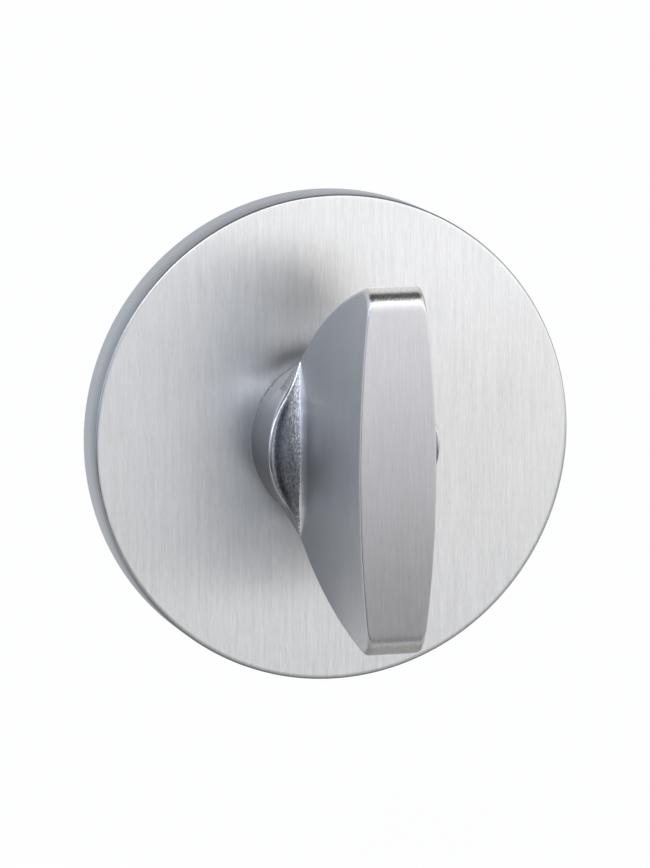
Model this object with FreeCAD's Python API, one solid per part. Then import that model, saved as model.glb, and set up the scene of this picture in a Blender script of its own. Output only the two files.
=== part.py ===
"""Thumb turn for a bathroom door: a round rose, its bearing unit, the turn and the square spindle.

The door face is the plane y = 0 and the spindle axis is the Y axis. The turn points towards -Y, into
the room, the spindle goes into the door along +Y, and Z is up. All sizes are in millimetres.
"""
import FreeCAD, Part
import math
import os
from FreeCAD import Vector

# Rose cover, a pressed cup that hides the fixing
rose_diameter = 52.0
rose_thickness = 5.0
cover_wall = 1.0
cover_edge_radius = 0.3
release_notch_width = 6.0
release_notch_depth = 0.8

# Base plate, screwed to the door under the cover
base_plate_thickness = 2.4
base_plate_play = 0.4
screw_edge_distance = 5.6

# Wire ring that the cover snaps over
snap_wire_diameter = 1.0
snap_wire_bite = 0.22
snap_wire_play = 0.25
snap_ring_opening_deg = 18.0

# Countersunk door screws
screw_thread_diameter = 4.0
screw_length = 22.0
screw_head_diameter = 7.4
screw_head_sink = 0.05
screw_head_play = 0.08
screw_hole_play = 0.2
screw_neck_diameter = 3.5
screw_neck_past_plate = 0.3
cross_recess_width = 1.0
cross_recess_span = 4.2
cross_recess_depth = 1.5

# Turn: round boss with a scooped shoulder on each side, and an upright blade with two wings
turn_projection = 24.0
boss_base_radius = 8.75
boss_rim_radius = 9.35
boss_edge_radius = 0.25
shoulder_height = 8.2
scoop_depth = 0.95
scoop_saddle_radius = 23.0
scoop_foot_overlap = 0.6
blade_length = 38.4
blade_middle_width = 8.3
blade_end_width = 5.7
blade_root_width = 11.0
front_crown = 0.4
front_end_inset = 1.6
tip_height_below_front = 2.4
tip_bulge = 0.42
wing_heel_height = 2.8
wing_heel_reach = 5.0
wing_knee_height = 12.8
wing_knee_reach = 15.3
wing_toe_height = 20.6
wing_toe_reach = 18.85
flank_start_deg = 21.0
flank_middle_deg = 48.5
flank_swell = 0.08
flank_end_reach = 9.3

# Shank of the turn, which runs in two flanged bushes
shank_radius = 7.0
shank_end = 12.2
running_gap = 0.05
axial_gap = 0.1
bush_wall = 0.85
bush_press_gap = 0.03
front_flange_thickness = 0.4
front_flange_radius = 8.5
front_bush_length = 4.4
rear_flange_thickness = 0.5
rear_bush_length = 4.0

# Bearing carrier, a moulding behind the cover with a hub that reaches into the door
carrier_thickness = 1.5
carrier_rim_gap = 0.05
hub_radius = 10.0
hub_root_radius = 10.2
hub_length = 7.0
hub_hole_play = 0.2
carrier_pocket_depth = 0.7
carrier_pocket_count = 8
carrier_rib_width = 1.4
carrier_edge_band = 1.6
peg_radius = 1.5
peg_offset = 16.0
peg_play = 0.1

# Stop cam and the lugs that end its travel
travel_deg = 90.0
tab_rest_deg = 225.0
tab_half_deg = 10.0
lug_half_deg = 12.0
stop_gap_deg = 1.0
cam_thickness = 1.1
cam_radius = 8.75
tab_radius = 9.75
lug_inner_radius = 9.0
lug_outer_inset = 0.1
lug_extra_length = 0.1
shank_flat_half_width = 6.2
cam_bore_gap = 0.06

# Washers and retaining ring behind the hub
thrust_washer_thickness = 0.4
washer_radius = 8.7
washer_bore_gap = 0.1
wave_washer_thickness = 0.25
wave_height = 0.22
wave_count = 3
seat_gap = 0.03
retaining_ring_thickness = 1.0
retaining_ring_radius = 8.4
retaining_groove_depth = 0.4
retaining_ring_opening_deg = 46.0
retaining_ear_radius = 1.25
retaining_ear_hole_radius = 0.6

# Square spindle and its spring pin
spindle_size = 8.0
spindle_play = 0.05
spindle_reach = 50.0
spindle_end_chamfer = 0.8
socket_depth = 16.0
spindle_floor_gap = 0.2
pin_radius = 1.25
pin_wall = 0.5
pin_place = 1.5
pin_hole_play = 0.04
pin_recess = 0.3

# Places along Y that follow from the sizes
rose_face = -rose_thickness
cover_inside = rose_face + cover_wall
carrier_back = cover_inside + carrier_thickness
boss_lift = front_flange_thickness + axial_gap
flange_end = hub_length + rear_flange_thickness
thrust_start = flange_end + axial_gap / 2
wave_start = thrust_start + thrust_washer_thickness + seat_gap
wave_end = wave_start + 2 * wave_height + wave_washer_thickness
cam_start = wave_end + seat_gap
groove_start = cam_start + cam_thickness + seat_gap
ring_start = groove_start + seat_gap
groove_end = ring_start + retaining_ring_thickness + seat_gap
socket_start = shank_end - socket_depth

# Radii that follow from the sizes
rose_radius = rose_diameter / 2
skirt_inner_radius = rose_radius - cover_wall
bush_bore_radius = shank_radius + running_gap
bush_outer_radius = bush_bore_radius + bush_wall
carrier_bore_radius = bush_outer_radius + bush_press_gap
base_plate_radius = skirt_inner_radius - base_plate_play
base_hole_radius = hub_root_radius + hub_hole_play
screw_offset = base_plate_radius - screw_edge_distance
snap_wire_radius = snap_wire_diameter / 2
snap_centre_radius = skirt_inner_radius + snap_wire_bite - snap_wire_radius
screw_radius = screw_thread_diameter / 2
screw_head_radius = screw_head_diameter / 2
screw_neck_radius = screw_neck_diameter / 2
half_blade = blade_length / 2
blade_end_inset = (blade_middle_width - blade_end_width) / 2
blade_side_radius = ((half_blade - front_end_inset) ** 2 + blade_end_inset ** 2) / (2 * blade_end_inset)
blade_axis_x = blade_middle_width / 2 - blade_side_radius


def above(height):
    """Y of a point that stands this high above the face of the rose."""
    return rose_face - height


def ring(outer, inner, start, end):
    """Plain ring about the spindle axis, from start to end along Y."""
    length = end - start
    disc = Part.makeCylinder(outer, length, Vector(0, start, 0), Vector(0, 1, 0))
    return disc.cut(Part.makeCylinder(inner, length, Vector(0, start, 0), Vector(0, 1, 0)))


def rod(radius, start, end, x=0.0, z=0.0):
    """Round bar along Y."""
    return Part.makeCylinder(radius, end - start, Vector(x, start, z), Vector(0, 1, 0))


def turned(points, angle=360.0):
    """Solid turned about the Y axis from an outline of (radius, y) points."""
    outline = [Vector(radius, y, 0) for radius, y in points]
    face = Part.Face(Part.makePolygon(outline + outline[:1]))
    return face.revolve(Vector(0, 0, 0), Vector(0, 1, 0), angle)


def sector(outer, inner, middle_deg, half_deg, start, end):
    """Part of a ring between two radial planes. Angles run from +X towards +Z."""
    face = Part.Face(Part.makePolygon([
        Vector(inner, start, 0),
        Vector(outer, start, 0),
        Vector(outer, end, 0),
        Vector(inner, end, 0),
        Vector(inner, start, 0),
    ]))
    face.rotate(Vector(0, 0, 0), Vector(0, 1, 0), half_deg - middle_deg)
    return face.revolve(Vector(0, 0, 0), Vector(0, 1, 0), -2 * half_deg)


def edges_at(shape, test):
    """Edges whose middle passes a test on its centre."""
    return [edge for edge in shape.Edges if test(edge, edge.CenterOfMass)]


def snap_torus(extra):
    """Torus on the line of the snap wire, with extra added to the wire's radius."""
    middle = -base_plate_thickness / 2
    return Part.makeTorus(snap_centre_radius, snap_wire_radius + extra, Vector(0, middle, 0), Vector(0, 1, 0))


def make_rose_cover():
    """Cup with a rounded front edge, a snap groove in the skirt and a lever notch at the bottom."""
    disc = rod(rose_radius, rose_face, 0)
    front = edges_at(disc, lambda edge, middle: abs(middle.y - rose_face) < 1e-6)
    disc = disc.makeFillet(cover_edge_radius, front)
    cup = disc.cut(rod(skirt_inner_radius, cover_inside, 0))
    cup = cup.cut(rod(bush_outer_radius + bush_press_gap, rose_face, cover_inside))
    cup = cup.cut(snap_torus(seat_gap))
    notch = Part.makeBox(release_notch_width, release_notch_depth, 2 * cover_wall)
    notch.translate(Vector(-release_notch_width / 2, -release_notch_depth, -rose_radius - cover_wall / 2))
    return cup.cut(notch)


def peg_places():
    """X of the two pegs that key the carrier to the base plate."""
    return (-peg_offset, peg_offset)


def make_bearing_carrier():
    """Moulding with a ribbed plate, a hub for the bushes, two keying pegs and two stop lugs."""
    plate = rod(skirt_inner_radius - carrier_rim_gap, cover_inside, carrier_back)
    body = plate.fuse(rod(hub_root_radius, carrier_back, 0))
    body = body.fuse(rod(hub_radius, 0, hub_length))
    pocket_outer = skirt_inner_radius - carrier_rim_gap - carrier_edge_band
    pocket_inner = hub_root_radius + carrier_edge_band
    pocket = ring(pocket_outer, pocket_inner, cover_inside, cover_inside + carrier_pocket_depth)
    for index in range(carrier_pocket_count):
        rib = Part.makeBox(rose_diameter, carrier_thickness, carrier_rib_width)
        rib.translate(Vector(0, cover_inside, -carrier_rib_width / 2))
        rib.rotate(Vector(0, 0, 0), Vector(0, 1, 0), 360.0 * index / carrier_pocket_count)
        pocket = pocket.cut(rib)
    body = body.cut(pocket)
    for x in peg_places():
        body = body.fuse(rod(peg_radius, carrier_back, -seat_gap, x))
    stop_deg = tab_half_deg + stop_gap_deg + lug_half_deg
    lug_end = cam_start + cam_thickness + lug_extra_length
    for middle in (tab_rest_deg - stop_deg, tab_rest_deg + travel_deg + stop_deg):
        lug = sector(
            hub_radius - lug_outer_inset, lug_inner_radius, middle, lug_half_deg, hub_length, lug_end,
        )
        body = body.fuse(lug)
    body = body.cut(rod(carrier_bore_radius, cover_inside, hub_length))
    return body.removeSplitter()


def make_base_plate():
    """Round plate with a hub hole, two countersunk screw holes, peg holes and a groove for the wire."""
    plate = ring(base_plate_radius, base_hole_radius, -base_plate_thickness, 0)
    groove_floor = snap_centre_radius - snap_wire_radius - snap_wire_play
    half_width = snap_wire_radius + seat_gap
    middle = -base_plate_thickness / 2
    plate = plate.cut(ring(rose_radius, groove_floor, middle - half_width, middle + half_width))
    for x in peg_places():
        plate = plate.cut(rod(peg_radius + peg_play, -base_plate_thickness, 0, x))
    for z in screw_places():
        plate = plate.cut(rod(screw_radius + screw_hole_play, -base_plate_thickness, 0, 0, z))
        plate = plate.cut(screw_head(z, screw_head_play))
        head_front = screw_head_sink - base_plate_thickness
        plate = plate.cut(rod(screw_head_radius + screw_head_play, -base_plate_thickness, head_front, 0, z))
    return plate


def make_snap_ring():
    """Open ring of round wire."""
    wire = snap_torus(0)
    reach = 2 * snap_wire_diameter
    gap = sector(
        snap_centre_radius + reach, snap_centre_radius - reach, 90.0, snap_ring_opening_deg / 2,
        -base_plate_thickness, 0,
    )
    return wire.cut(gap)


def screw_places():
    """Z of the two door screws."""
    return (-screw_offset, screw_offset)


def screw_head(z, extra):
    """Countersunk 90 degree cone with its wide end at the front of the base plate, grown by extra."""
    top = -base_plate_thickness + screw_head_sink
    wide = screw_head_radius + extra
    narrow = screw_neck_radius
    return Part.makeCone(wide, narrow, wide - narrow, Vector(0, top, z), Vector(0, 1, 0))


def make_door_screws():
    """Two countersunk screws with a cross recess, a plain neck in the plate and a bevelled tip."""
    screws = []
    top = -base_plate_thickness + screw_head_sink
    head_end = top + screw_head_radius - screw_neck_radius
    for z in screw_places():
        thread = rod(screw_radius, screw_neck_past_plate, top + screw_length, 0, z)
        tip = edges_at(thread, lambda edge, middle: middle.y > top + screw_length - 1e-3)
        thread = thread.makeChamfer(screw_radius / 3, tip)
        neck = rod(screw_neck_radius, head_end, screw_neck_past_plate, 0, z)
        screw = screw_head(z, 0).fuse(neck).fuse(thread)
        for across, up in ((cross_recess_span, cross_recess_width), (cross_recess_width, cross_recess_span)):
            arm = Part.makeBox(across, cross_recess_depth, up)
            arm.translate(Vector(-across / 2, top, z - up / 2))
            screw = screw.cut(arm)
        screws.append(screw.removeSplitter())
    return Part.makeCompound(screws)


def make_front_bush():
    """Bush whose thin flange lies between the boss and the cover."""
    flange_front = above(front_flange_thickness)
    sleeve_end = flange_front + front_bush_length
    bush = ring(bush_outer_radius, bush_bore_radius, flange_front, sleeve_end)
    flange = ring(front_flange_radius, bush_bore_radius, flange_front, rose_face)
    return bush.fuse(flange).removeSplitter()


def make_rear_bush():
    """Bush whose flange takes the pull of the wave washer."""
    bush = ring(bush_outer_radius, bush_bore_radius, flange_end - rear_bush_length, flange_end)
    flange = ring(washer_radius, bush_bore_radius, hub_length, flange_end)
    return bush.fuse(flange).removeSplitter()


def blade_sides():
    """The blade's outline seen from the front, as a solid with barrel-shaped sides and some draft. One
    side is turned about a far axis parallel to Y, then mirrored."""
    middle = blade_middle_width / 2
    front = turn_projection - front_crown
    floor = shoulder_height - scoop_depth
    draft = (blade_root_width / 2 - middle) / (front - floor)
    top = turn_projection + 1
    inner = -blade_end_width / 8
    outline = Part.makePolygon([
        Vector(inner, above(0), 0),
        Vector(middle + draft * front, above(0), 0),
        Vector(middle - draft * (top - front), above(top), 0),
        Vector(inner, above(top), 0),
        Vector(inner, above(0), 0),
    ])
    face = Part.Face(outline)
    half_angle = math.degrees(math.asin((half_blade + 3) / blade_side_radius))
    face.rotate(Vector(blade_axis_x, 0, 0), Vector(0, 1, 0), -half_angle)
    half = face.revolve(Vector(blade_axis_x, 0, 0), Vector(0, 1, 0), 2 * half_angle)
    return half.fuse(half.mirror(Vector(0, 0, 0), Vector(1, 0, 0)))


def below_scoops():
    """Everything under the two scooped shoulders, as a solid: dished across and saddle-backed along Z.
    The dish is turned about an axis parallel to X behind the rose."""
    floor = shoulder_height - scoop_depth
    wide = boss_rim_radius + 3
    rim = Vector(boss_rim_radius, above(shoulder_height), 0)
    foot = Vector(blade_root_width / 2 - scoop_foot_overlap, above(floor), 0)
    hollow = Vector((rim.x + foot.x) / 2, above(floor + scoop_depth / 5), 0)
    side = [
        Part.Arc(foot, hollow, rim).toShape(),
        Part.makeLine(rim, Vector(wide, rim.y, 0)),
        Part.makeLine(Vector(wide, rim.y, 0), Vector(wide, above(0), 0)),
    ]
    other = [edge.mirror(Vector(0, 0, 0), Vector(1, 0, 0)) for edge in side]
    across = [
        Part.makeLine(Vector(-foot.x, foot.y, 0), foot),
        Part.makeLine(Vector(-wide, above(0), 0), Vector(wide, above(0), 0)),
    ]
    face = Part.Face(Part.Wire(Part.__sortEdges__(side + other + across)))
    centre = Vector(0, above(shoulder_height - scoop_saddle_radius), 0)
    half_angle = math.degrees(math.atan2(flank_end_reach + 3, scoop_saddle_radius - shoulder_height))
    face.rotate(centre, Vector(1, 0, 0), -half_angle)
    return face.revolve(centre, Vector(1, 0, 0), 2 * half_angle)


def blade_side_view():
    """The turn's outline seen from the side, as a solid: crowned front, round tips and swept wings."""
    front = turn_projection - front_crown
    end = half_blade - front_end_inset
    tip = Vector(0, above(turn_projection - tip_height_below_front), half_blade)
    corner = Vector(0, above(front), end)
    middle = (tip + corner) * 0.5
    outward = Vector(0, -1, 1).normalize() * tip_bulge
    toe = Vector(0, above(wing_toe_height), wing_toe_reach)
    knee = Vector(0, above(wing_knee_height), wing_knee_reach)
    heel = Vector(0, above(wing_heel_height), wing_heel_reach)
    inner = Vector(0, heel.y, 0)
    upper = [
        Part.Arc(corner, middle + outward, tip).toShape(),
        Part.makeLine(tip, toe),
        Part.Arc(toe, knee, heel).toShape(),
        Part.makeLine(heel, inner),
    ]
    lower = [edge.mirror(Vector(0, 0, 0), Vector(0, 0, 1)) for edge in upper]
    crown = Part.Arc(
        Vector(0, corner.y, -end), Vector(0, above(turn_projection), 0), corner,
    ).toShape()
    wire = Part.Wire(Part.__sortEdges__(upper + lower + [crown]))
    face = Part.Face(wire)
    face.translate(Vector(-boss_rim_radius, 0, 0))
    return face.extrude(Vector(2 * boss_rim_radius, 0, 0))


def wing_flanks():
    """The wings' rear outline seen from the front, as a solid. Each flank leaves the boss almost along
    its own curve and runs out to the side of the blade."""
    root_radius = blade_root_width / 2 - blade_axis_x
    angle = math.radians(flank_start_deg)
    start = Vector(math.cos(angle), 0, math.sin(angle)) * boss_base_radius
    angle = math.radians(flank_middle_deg)
    swell = Vector(math.cos(angle), 0, math.sin(angle)) * (boss_rim_radius + flank_swell)
    end_x = blade_axis_x + math.sqrt(root_radius ** 2 - flank_end_reach ** 2)
    end = Vector(end_x, 0, flank_end_reach)
    tip = Vector(end_x, 0, half_blade + 1)
    flank = [
        Part.Arc(start, swell, end).toShape(),
        Part.makeLine(end, tip),
    ]
    flank += [edge.mirror(Vector(0, 0, 0), Vector(1, 0, 0)) for edge in flank]
    flank += [edge.mirror(Vector(0, 0, 0), Vector(0, 0, 1)) for edge in flank]
    ends = []
    for side in (-1, 1):
        ends.append(Part.makeLine(Vector(-tip.x, 0, side * tip.z), Vector(tip.x, 0, side * tip.z)))
        ends.append(Part.makeLine(Vector(side * start.x, 0, -start.z), Vector(side * start.x, 0, start.z)))
    face = Part.Face(Part.Wire(Part.__sortEdges__(flank + ends)))
    face.translate(Vector(0, above(turn_projection + 1), 0))
    return face.extrude(Vector(0, turn_projection + 1, 0))


def make_thumb_turn():
    """Casting in one piece: boss, scooped shoulders, winged blade and the shank with its socket."""
    boss = turned([
        (0, above(boss_lift)),
        (boss_base_radius, above(boss_lift)),
        (boss_rim_radius, above(shoulder_height)),
        (boss_rim_radius, above(shoulder_height + 2)),
        (0, above(shoulder_height + 2)),
    ])
    side_view = blade_side_view()
    shoulders = boss.fuse(side_view.common(wing_flanks())).common(below_scoops())
    grip = shoulders.fuse(side_view.common(blade_sides())).removeSplitter()
    base = edges_at(grip, lambda edge, centre: abs(centre.y - above(boss_lift)) < 1e-6)
    grip = grip.makeFillet(boss_edge_radius, base)
    shank = rod(shank_radius, above(boss_lift), shank_end)
    shank = shank.cut(ring(
        shank_radius + 1, shank_radius - retaining_groove_depth, groove_start, groove_end,
    ))
    flat_length = shank_end - cam_start + seat_gap
    for side in (-1, 1):
        flat = Part.makeBox(shank_radius, flat_length, 2 * shank_radius)
        flat.translate(Vector(-shank_radius / 2, cam_start - seat_gap, -shank_radius))
        flat.translate(Vector(side * (shank_flat_half_width + shank_radius / 2), 0, 0))
        shank = shank.cut(flat)
    turn = grip.fuse(shank)
    turn = turn.cut(square_bar(spindle_size + 2 * spindle_play, socket_start, shank_end))
    hole_radius = pin_radius + pin_hole_play / 2
    turn = turn.cut(Part.makeCylinder(
        hole_radius, 2 * shank_radius, Vector(-shank_radius, pin_place, 0), Vector(1, 0, 0),
    ))
    return turn.removeSplitter()


def square_bar(size, start, end):
    """Square bar along the spindle axis."""
    bar = Part.makeBox(size, end - start, size)
    bar.translate(Vector(-size / 2, start, -size / 2))
    return bar


def make_spindle():
    """Square bar with a chamfered free end and a cross hole for the pin."""
    bar = square_bar(spindle_size, socket_start + spindle_floor_gap, spindle_reach)
    end = edges_at(bar, lambda edge, middle: abs(middle.y - spindle_reach) < 1e-6)
    bar = bar.makeChamfer(spindle_end_chamfer, end)
    return bar.cut(Part.makeCylinder(
        pin_radius + pin_hole_play, spindle_size, Vector(-spindle_size / 2, pin_place, 0), Vector(1, 0, 0),
    ))


def make_spindle_pin():
    """Slotted spring pin that ties the spindle to the turn, just short of the shank's surface."""
    length = 2 * (shank_radius - pin_recess)
    start = Vector(-length / 2, pin_place, 0)
    pin = Part.makeCylinder(pin_radius, length, start, Vector(1, 0, 0))
    pin = pin.cut(Part.makeCylinder(pin_radius - pin_wall, length, start, Vector(1, 0, 0)))
    slot = Part.makeBox(length, pin_radius, pin_wall)
    slot.translate(Vector(-length / 2, pin_place, -pin_wall / 2))
    return pin.cut(slot)


def make_stop_cam():
    """Keyed washer with a tab that meets the carrier's lugs at each end of the travel."""
    cam_end = cam_start + cam_thickness
    cam = rod(cam_radius, cam_start, cam_end)
    tab = sector(tab_radius, cam_radius - 1, tab_rest_deg, tab_half_deg, cam_start, cam_end)
    cam = cam.fuse(tab)
    bore = rod(shank_radius + cam_bore_gap, cam_start, cam_end)
    width = 2 * (shank_flat_half_width + cam_bore_gap)
    keyed = Part.makeBox(width, cam_thickness, 4 * shank_radius)
    keyed.translate(Vector(-width / 2, cam_start, -2 * shank_radius))
    return cam.cut(bore.common(keyed)).removeSplitter()


def make_thrust_washer():
    """Flat steel washer on the rear bush."""
    return ring(
        washer_radius, shank_radius + washer_bore_gap,
        thrust_start, thrust_start + thrust_washer_thickness,
    )


def wave_line(radius):
    """Closed wavy line at one radius of the wave washer."""
    middle = wave_start + wave_height
    steps = 8 * wave_count
    points = []
    for step in range(steps):
        angle = 2 * math.pi * step / steps
        y = middle + wave_height * math.cos(wave_count * angle)
        points.append(Vector(radius * math.cos(angle), y, radius * math.sin(angle)))
    line = Part.BSplineCurve()
    line.interpolate(points, PeriodicFlag=True)
    return line.toShape()


def make_wave_washer():
    """Spring washer, a wavy ring of even thickness that keeps the turn from rattling."""
    surface = Part.makeRuledSurface(
        wave_line(shank_radius + washer_bore_gap), wave_line(washer_radius),
    )
    return surface.extrude(Vector(0, wave_washer_thickness, 0))


def make_retaining_ring():
    """Open ring in the shank's groove, with an eared gap for the pliers."""
    inner = shank_radius - retaining_groove_depth + seat_gap
    end = ring_start + retaining_ring_thickness
    body = ring(retaining_ring_radius, inner, ring_start, end)
    half_open = retaining_ring_opening_deg / 2
    body = body.cut(sector(retaining_ring_radius + 1, inner - 1, 90.0, half_open, ring_start, end))
    ear_circle = inner + retaining_ear_radius
    ear_half_deg = math.degrees(retaining_ear_radius / ear_circle)
    for side in (-1, 1):
        angle = math.radians(90.0 + side * (half_open + ear_half_deg))
        x = ear_circle * math.cos(angle)
        z = ear_circle * math.sin(angle)
        body = body.fuse(rod(retaining_ear_radius, ring_start, end, x, z))
        body = body.cut(rod(retaining_ear_hole_radius, ring_start, end, x, z))
    return body.removeSplitter()


pieces = {
    "rose_cover": make_rose_cover,
    "bearing_carrier": make_bearing_carrier,
    "base_plate": make_base_plate,
    "snap_ring": make_snap_ring,
    "door_screws": make_door_screws,
    "front_bush": make_front_bush,
    "rear_bush": make_rear_bush,
    "thumb_turn": make_thumb_turn,
    "spindle": make_spindle,
    "spindle_pin": make_spindle_pin,
    "stop_cam": make_stop_cam,
    "thrust_washer": make_thrust_washer,
    "wave_washer": make_wave_washer,
    "retaining_ring": make_retaining_ring,
}

os.makedirs("parts", exist_ok=True)
for name, make in pieces.items():
    shape = make()
    shape.exportStep("parts/" + name + ".step")
    print(name, shape.ShapeType, "solids", len(shape.Solids), "valid", shape.isValid(),
          "volume %.1f" % shape.Volume)
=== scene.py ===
"""Looks of a bathroom door's thumb turn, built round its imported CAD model. Lengths in the shapes are in
millimetres and go into the meshes in metres. X is to the right, -Y into the room and Z up."""
import math

import bmesh
import bpy
import numpy as np
from bpy.props import FloatProperty, FloatVectorProperty, PointerProperty
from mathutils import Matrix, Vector


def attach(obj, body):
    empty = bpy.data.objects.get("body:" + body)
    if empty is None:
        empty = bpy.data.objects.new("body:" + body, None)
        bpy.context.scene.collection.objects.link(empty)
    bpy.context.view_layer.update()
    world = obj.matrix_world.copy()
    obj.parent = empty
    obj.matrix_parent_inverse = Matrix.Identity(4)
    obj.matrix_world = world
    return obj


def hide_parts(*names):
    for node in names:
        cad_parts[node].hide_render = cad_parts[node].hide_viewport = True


bl_info = {
    "name": "Bathroom thumb turn",
    "version": (1, 0, 0),
    "blender": (4, 5, 0),
    "location": "3D View > Sidebar > Thumb turn",
    "description": "Builds the rose, the winged turn, their fixings and a small studio",
    "category": "Object",
}

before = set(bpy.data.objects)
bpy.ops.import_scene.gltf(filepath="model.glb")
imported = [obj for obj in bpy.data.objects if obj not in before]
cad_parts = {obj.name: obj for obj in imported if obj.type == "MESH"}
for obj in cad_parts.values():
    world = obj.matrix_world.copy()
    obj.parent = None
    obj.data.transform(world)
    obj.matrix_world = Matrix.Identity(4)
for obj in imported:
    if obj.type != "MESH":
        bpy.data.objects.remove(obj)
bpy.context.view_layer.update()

MM = 0.001
ROSE_FACE = -5.0
DOUBLES = 0.002
BUMP_DEPTH = 0.00002
FLOOR_Z = -0.07


def size_setting(name, description, size, low, high):
    """A size in mm that the panel shows."""
    return FloatProperty(name=name, description=description + " in mm", default=size, min=low, max=high)


def colour_setting(name, description, colour):
    """A colour that the panel shows."""
    return FloatVectorProperty(
        name=name, description=description, subtype="COLOR", size=3, min=0, max=1, default=colour)


class TurnSizes(bpy.types.PropertyGroup):
    """Sizes of the edges and small forms that the looks add."""
    blade_edge: size_setting("Blade edge", "Rounding of the blade's edges", 0.14, 0.02, 0.5)
    rim_edge: size_setting("Shoulder edge", "Rounding of the shoulder's rim", 0.5, 0.02, 0.8)
    crease_edge: size_setting("Crease", "Rounding where blade and shoulder meet", 2.0, 0.02, 2.5)
    tip_edge: size_setting("Tip edge", "Rounding of the edges at the blade's ends", 0.6, 0.05, 0.8)
    tip_rounding: size_setting("Tip rounding", "Softening of the blade's end corners", 0.42, 0.05, 0.6)
    thread_pitch: size_setting("Thread pitch", "Pitch of the door screws", 0.7, 0.3, 1.5)


class TurnFinishes(bpy.types.PropertyGroup):
    """Colours of the finishes."""
    rose_colour: colour_setting("Rose", "Satin metal of the rose", (0.96, 0.952, 0.945))
    skirt_colour: colour_setting("Rose's rim", "Turned metal of the rose's rim", (0.42, 0.445, 0.485))
    turn_colour: colour_setting("Turn", "Satin metal of the turn", (0.612, 0.602, 0.618))
    # The sides' cooler colour, also used on the boss wall, is a painted reflection; blade, sides and boss
    # are one satin metal.
    side_colour: colour_setting("Turn's sides", "Satin metal of the blade's sides", (0.595, 0.608, 0.632))
    tip_colour: colour_setting("Turn's tips", "As-cast metal of the tips", (0.60, 0.59, 0.575))
    zinc_colour: colour_setting("Zinc plate", "Plated steel behind the rose", (0.62, 0.64, 0.66))
    screw_colour: colour_setting("Screws", "Plated steel of the screws", (0.40, 0.41, 0.43))
    nylon_colour: colour_setting("Nylon", "Moulded carrier", (0.16, 0.165, 0.17))
    bush_colour: colour_setting("Bush", "Pale acetal of the bushes", (0.78, 0.77, 0.74))
    spring_colour: colour_setting("Spring steel", "Blackened spring steel", (0.20, 0.20, 0.21))
    spindle_colour: colour_setting("Spindle", "Bright drawn bar", (0.60, 0.59, 0.56))


class StudioSettings(bpy.types.PropertyGroup):
    """Camera and light of the small studio."""
    azimuth: FloatProperty(
        name="Azimuth", description="Camera's side angle", subtype="ANGLE", default=math.radians(-16.0))
    elevation: FloatProperty(
        name="Elevation", description="Camera's height angle", subtype="ANGLE", default=math.radians(9.4))
    distance: FloatProperty(
        name="Distance", description="From the rose to the camera", subtype="DISTANCE", unit="LENGTH",
        default=0.7)
    lens: FloatProperty(name="Lens", description="Focal length in mm", default=274.4, min=20, max=600)
    aim_left: FloatProperty(
        name="Aim to the left", description="Aim point left of the rose in mm", default=0.90)
    aim_up: FloatProperty(
        name="Aim up", description="Aim point above the rose in mm", default=0.43)
    world_level: FloatProperty(
        name="Light level", description="Level of the soft surround", default=0.94, min=0, max=3)


def arc_through(first, middle, last, count):
    """Points on the circle through three points, at equal angles from the first to the last."""
    centre = circle_centre(first, middle, last)
    start, via, end = (math.atan2(p[1] - centre[1], p[0] - centre[0]) for p in (first, middle, last))
    via = start + (via - start + math.pi) % (2 * math.pi) - math.pi
    end = via + (end - via + math.pi) % (2 * math.pi) - math.pi
    radius = math.dist(first, centre)
    turn = np.linspace(start, end, count)
    return centre[0] + radius * np.cos(turn), centre[1] + radius * np.sin(turn)


def circle_centre(first, middle, last):
    """Centre of the circle through three points, where two bisectors of its chords cross."""
    rows = np.array([np.subtract(middle, first), np.subtract(last, first)], dtype=float)
    sides = np.array([np.dot(point, point) - np.dot(first, first) for point in (middle, last)])
    return np.linalg.solve(rows, sides / 2)


def grid_faces(rows, columns, start=0):
    """Corner numbers of the four-sided faces of a grid of points."""
    index = start + np.arange(rows * columns).reshape(rows, columns)
    corners = [index[:-1, :-1], index[:-1, 1:], index[1:, 1:], index[1:, :-1]]
    return np.stack(corners, axis=-1).reshape(-1, 4)


class Shell:
    """Collects grids of points with their masks, and joins them into one mesh."""

    def __init__(self, *masks):
        self.masks = masks
        self.points = []
        self.values = []
        self.faces = []
        self.count = 0

    def add(self, grid, **values):
        """Adds one grid of shape (rows, columns, 3). A mask is a number or one value for each point."""
        rows, columns = grid.shape[:2]
        self.points.append(grid.reshape(-1, 3))
        self.faces.append(grid_faces(rows, columns, self.count))
        self.values.append(np.array([
            np.broadcast_to(values.get(mask, 0.0), (rows, columns)) for mask in self.masks
        ], dtype=float).reshape(len(self.masks), rows * columns))
        self.count += rows * columns

    def mirrored(self, axis):
        """Adds the shell's mirror image across the plane where this axis is zero."""
        flip = np.ones(3)
        flip[axis] = -1
        points = np.concatenate(self.points)
        faces = np.concatenate(self.faces)
        values = np.concatenate(self.values, axis=1)
        self.points = [points, points * flip]
        self.faces = [faces, faces[:, ::-1] + self.count]
        self.values = [values, values]
        self.count *= 2

    def mesh(self, name):
        """One clean mesh with its masks and its UV map."""
        data = bpy.data.meshes.new(name)
        data.from_pydata(np.concatenate(self.points) * MM, [], np.concatenate(self.faces))
        values = np.concatenate(self.values, axis=1)
        for mask, numbers in zip(self.masks, values):
            data.attributes.new(mask, "FLOAT", "POINT").data.foreach_set("value", numbers)
        return cleaned(data, 38)


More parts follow.
